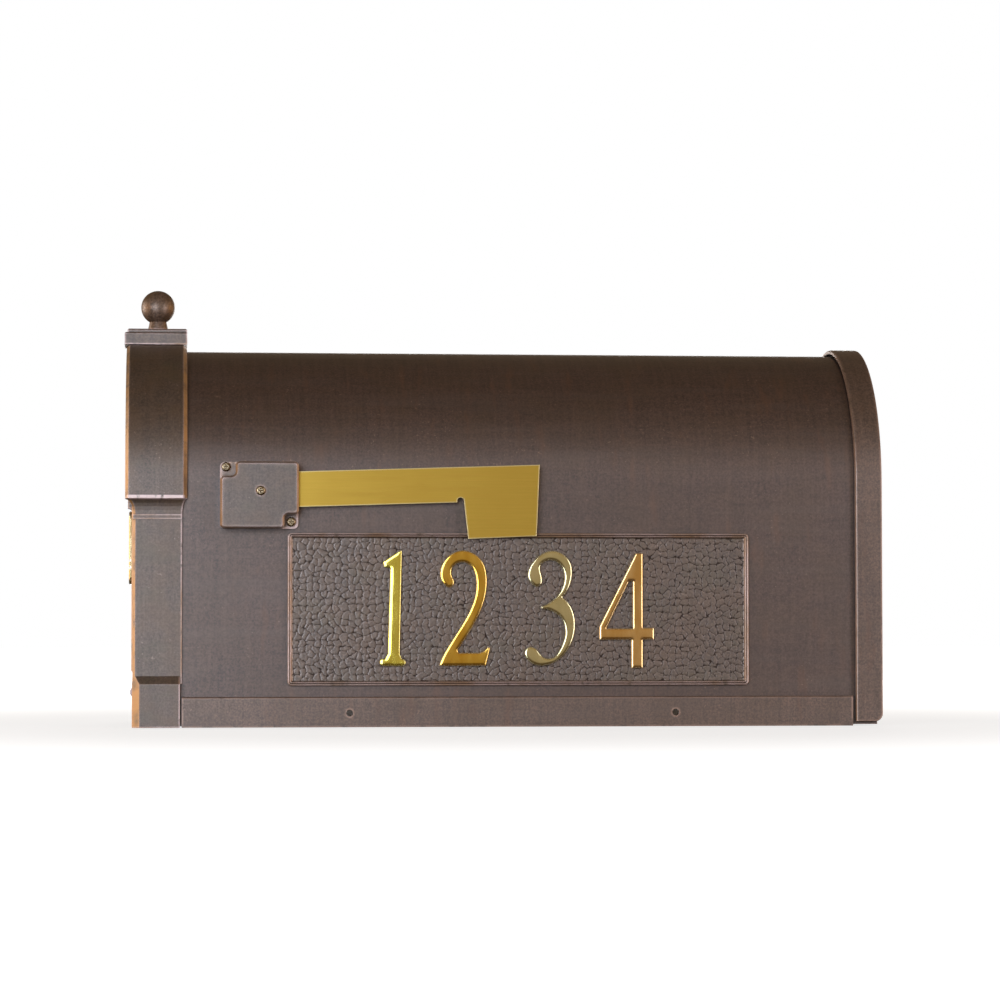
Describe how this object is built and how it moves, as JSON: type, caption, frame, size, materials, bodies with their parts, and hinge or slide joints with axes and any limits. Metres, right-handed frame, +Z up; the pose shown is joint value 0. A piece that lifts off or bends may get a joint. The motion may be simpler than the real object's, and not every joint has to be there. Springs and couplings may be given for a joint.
{
  "type": "curbside mailbox",
  "caption": "Arch-topped post-mounted mailbox with a bottom-hinged front door, a swinging signal flag, a cast address plaque and a ball finial.",
  "frame": {"origin": "centre of the floor pan's underside, midway between the mounting holes, where the mounting board seats", "axes": "+X along the box from the door to the rear, +Y to the side without the flag, +Z up"},
  "size_m": [0.5249, 0.2113, 0.3066],
  "materials": {
    "antique_sheet": "brushed sheet, hand-rubbed antique copper over dark brown, satin",
    "antique_casting": "sand casting, hand-rubbed antique copper over dark brown, worn light edges, satin",
    "bare_sheet": "mill finish sheet, slightly oxidised",
    "polished_brass": "polished and lacquered",
    "satin_brass": "satin brushed and lacquered",
    "aged_screw": "antiqued brass, dark in the recesses",
    "steel_hardware": "zinc plated",
    "magnet_ceramic": "dull dark ceramic magnet",
    "packing_rubber": "black packing strip"
  },
  "bodies": {
    "box": {"body_shell": "antique_sheet", "side_rail_right": "antique_sheet", "side_rail_left": "antique_sheet", "rear_cap": "antique_sheet", "front_frame": "antique_casting", "cap_block": "antique_casting", "finial_ball": "antique_casting", "flag_housing": "antique_casting", "address_plaque": "antique_casting", "floor_pan": "bare_sheet", "numeral_1": "polished_brass", "numeral_2": "polished_brass", "numeral_3": "polished_brass", "numeral_4": "polished_brass", "housing_screws": "aged_screw", "pivot_screw": "aged_screw", "rear_cap_screws": "steel_hardware", "frame_screws": "steel_hardware", "frame_rivets": "steel_hardware", "door_hinge_pins": "steel_hardware", "catch_screws": "steel_hardware", "housing_nuts": "steel_hardware", "plaque_nuts": "steel_hardware", "spring_washer": "steel_hardware", "front_washer": "steel_hardware", "catch_magnet": "magnet_ceramic", "rear_spacer": "packing_rubber"},
    "door": {"door_panel": "antique_casting", "strike_plate": "steel_hardware", "strike_rivets": "steel_hardware", "door_pull": "polished_brass", "pull_screws": "steel_hardware"},
    "flag": {"flag_blade": "satin_brass", "flag_bushing": "satin_brass"}
  },
  "joints": [
    {"name": "door_hinge", "type": "hinge", "parent": "box", "child": "door", "pos_m": [-0.2574, 0, 0.0045], "axis": [0, -1, 0], "range_deg": [0, 105]},
    {"name": "flag_pivot", "type": "hinge", "parent": "box", "child": "flag", "pos_m": [-0.1732, -0.1015, 0.1411], "axis": [0, -1, 0], "range_deg": [0, 90]}
  ]
}
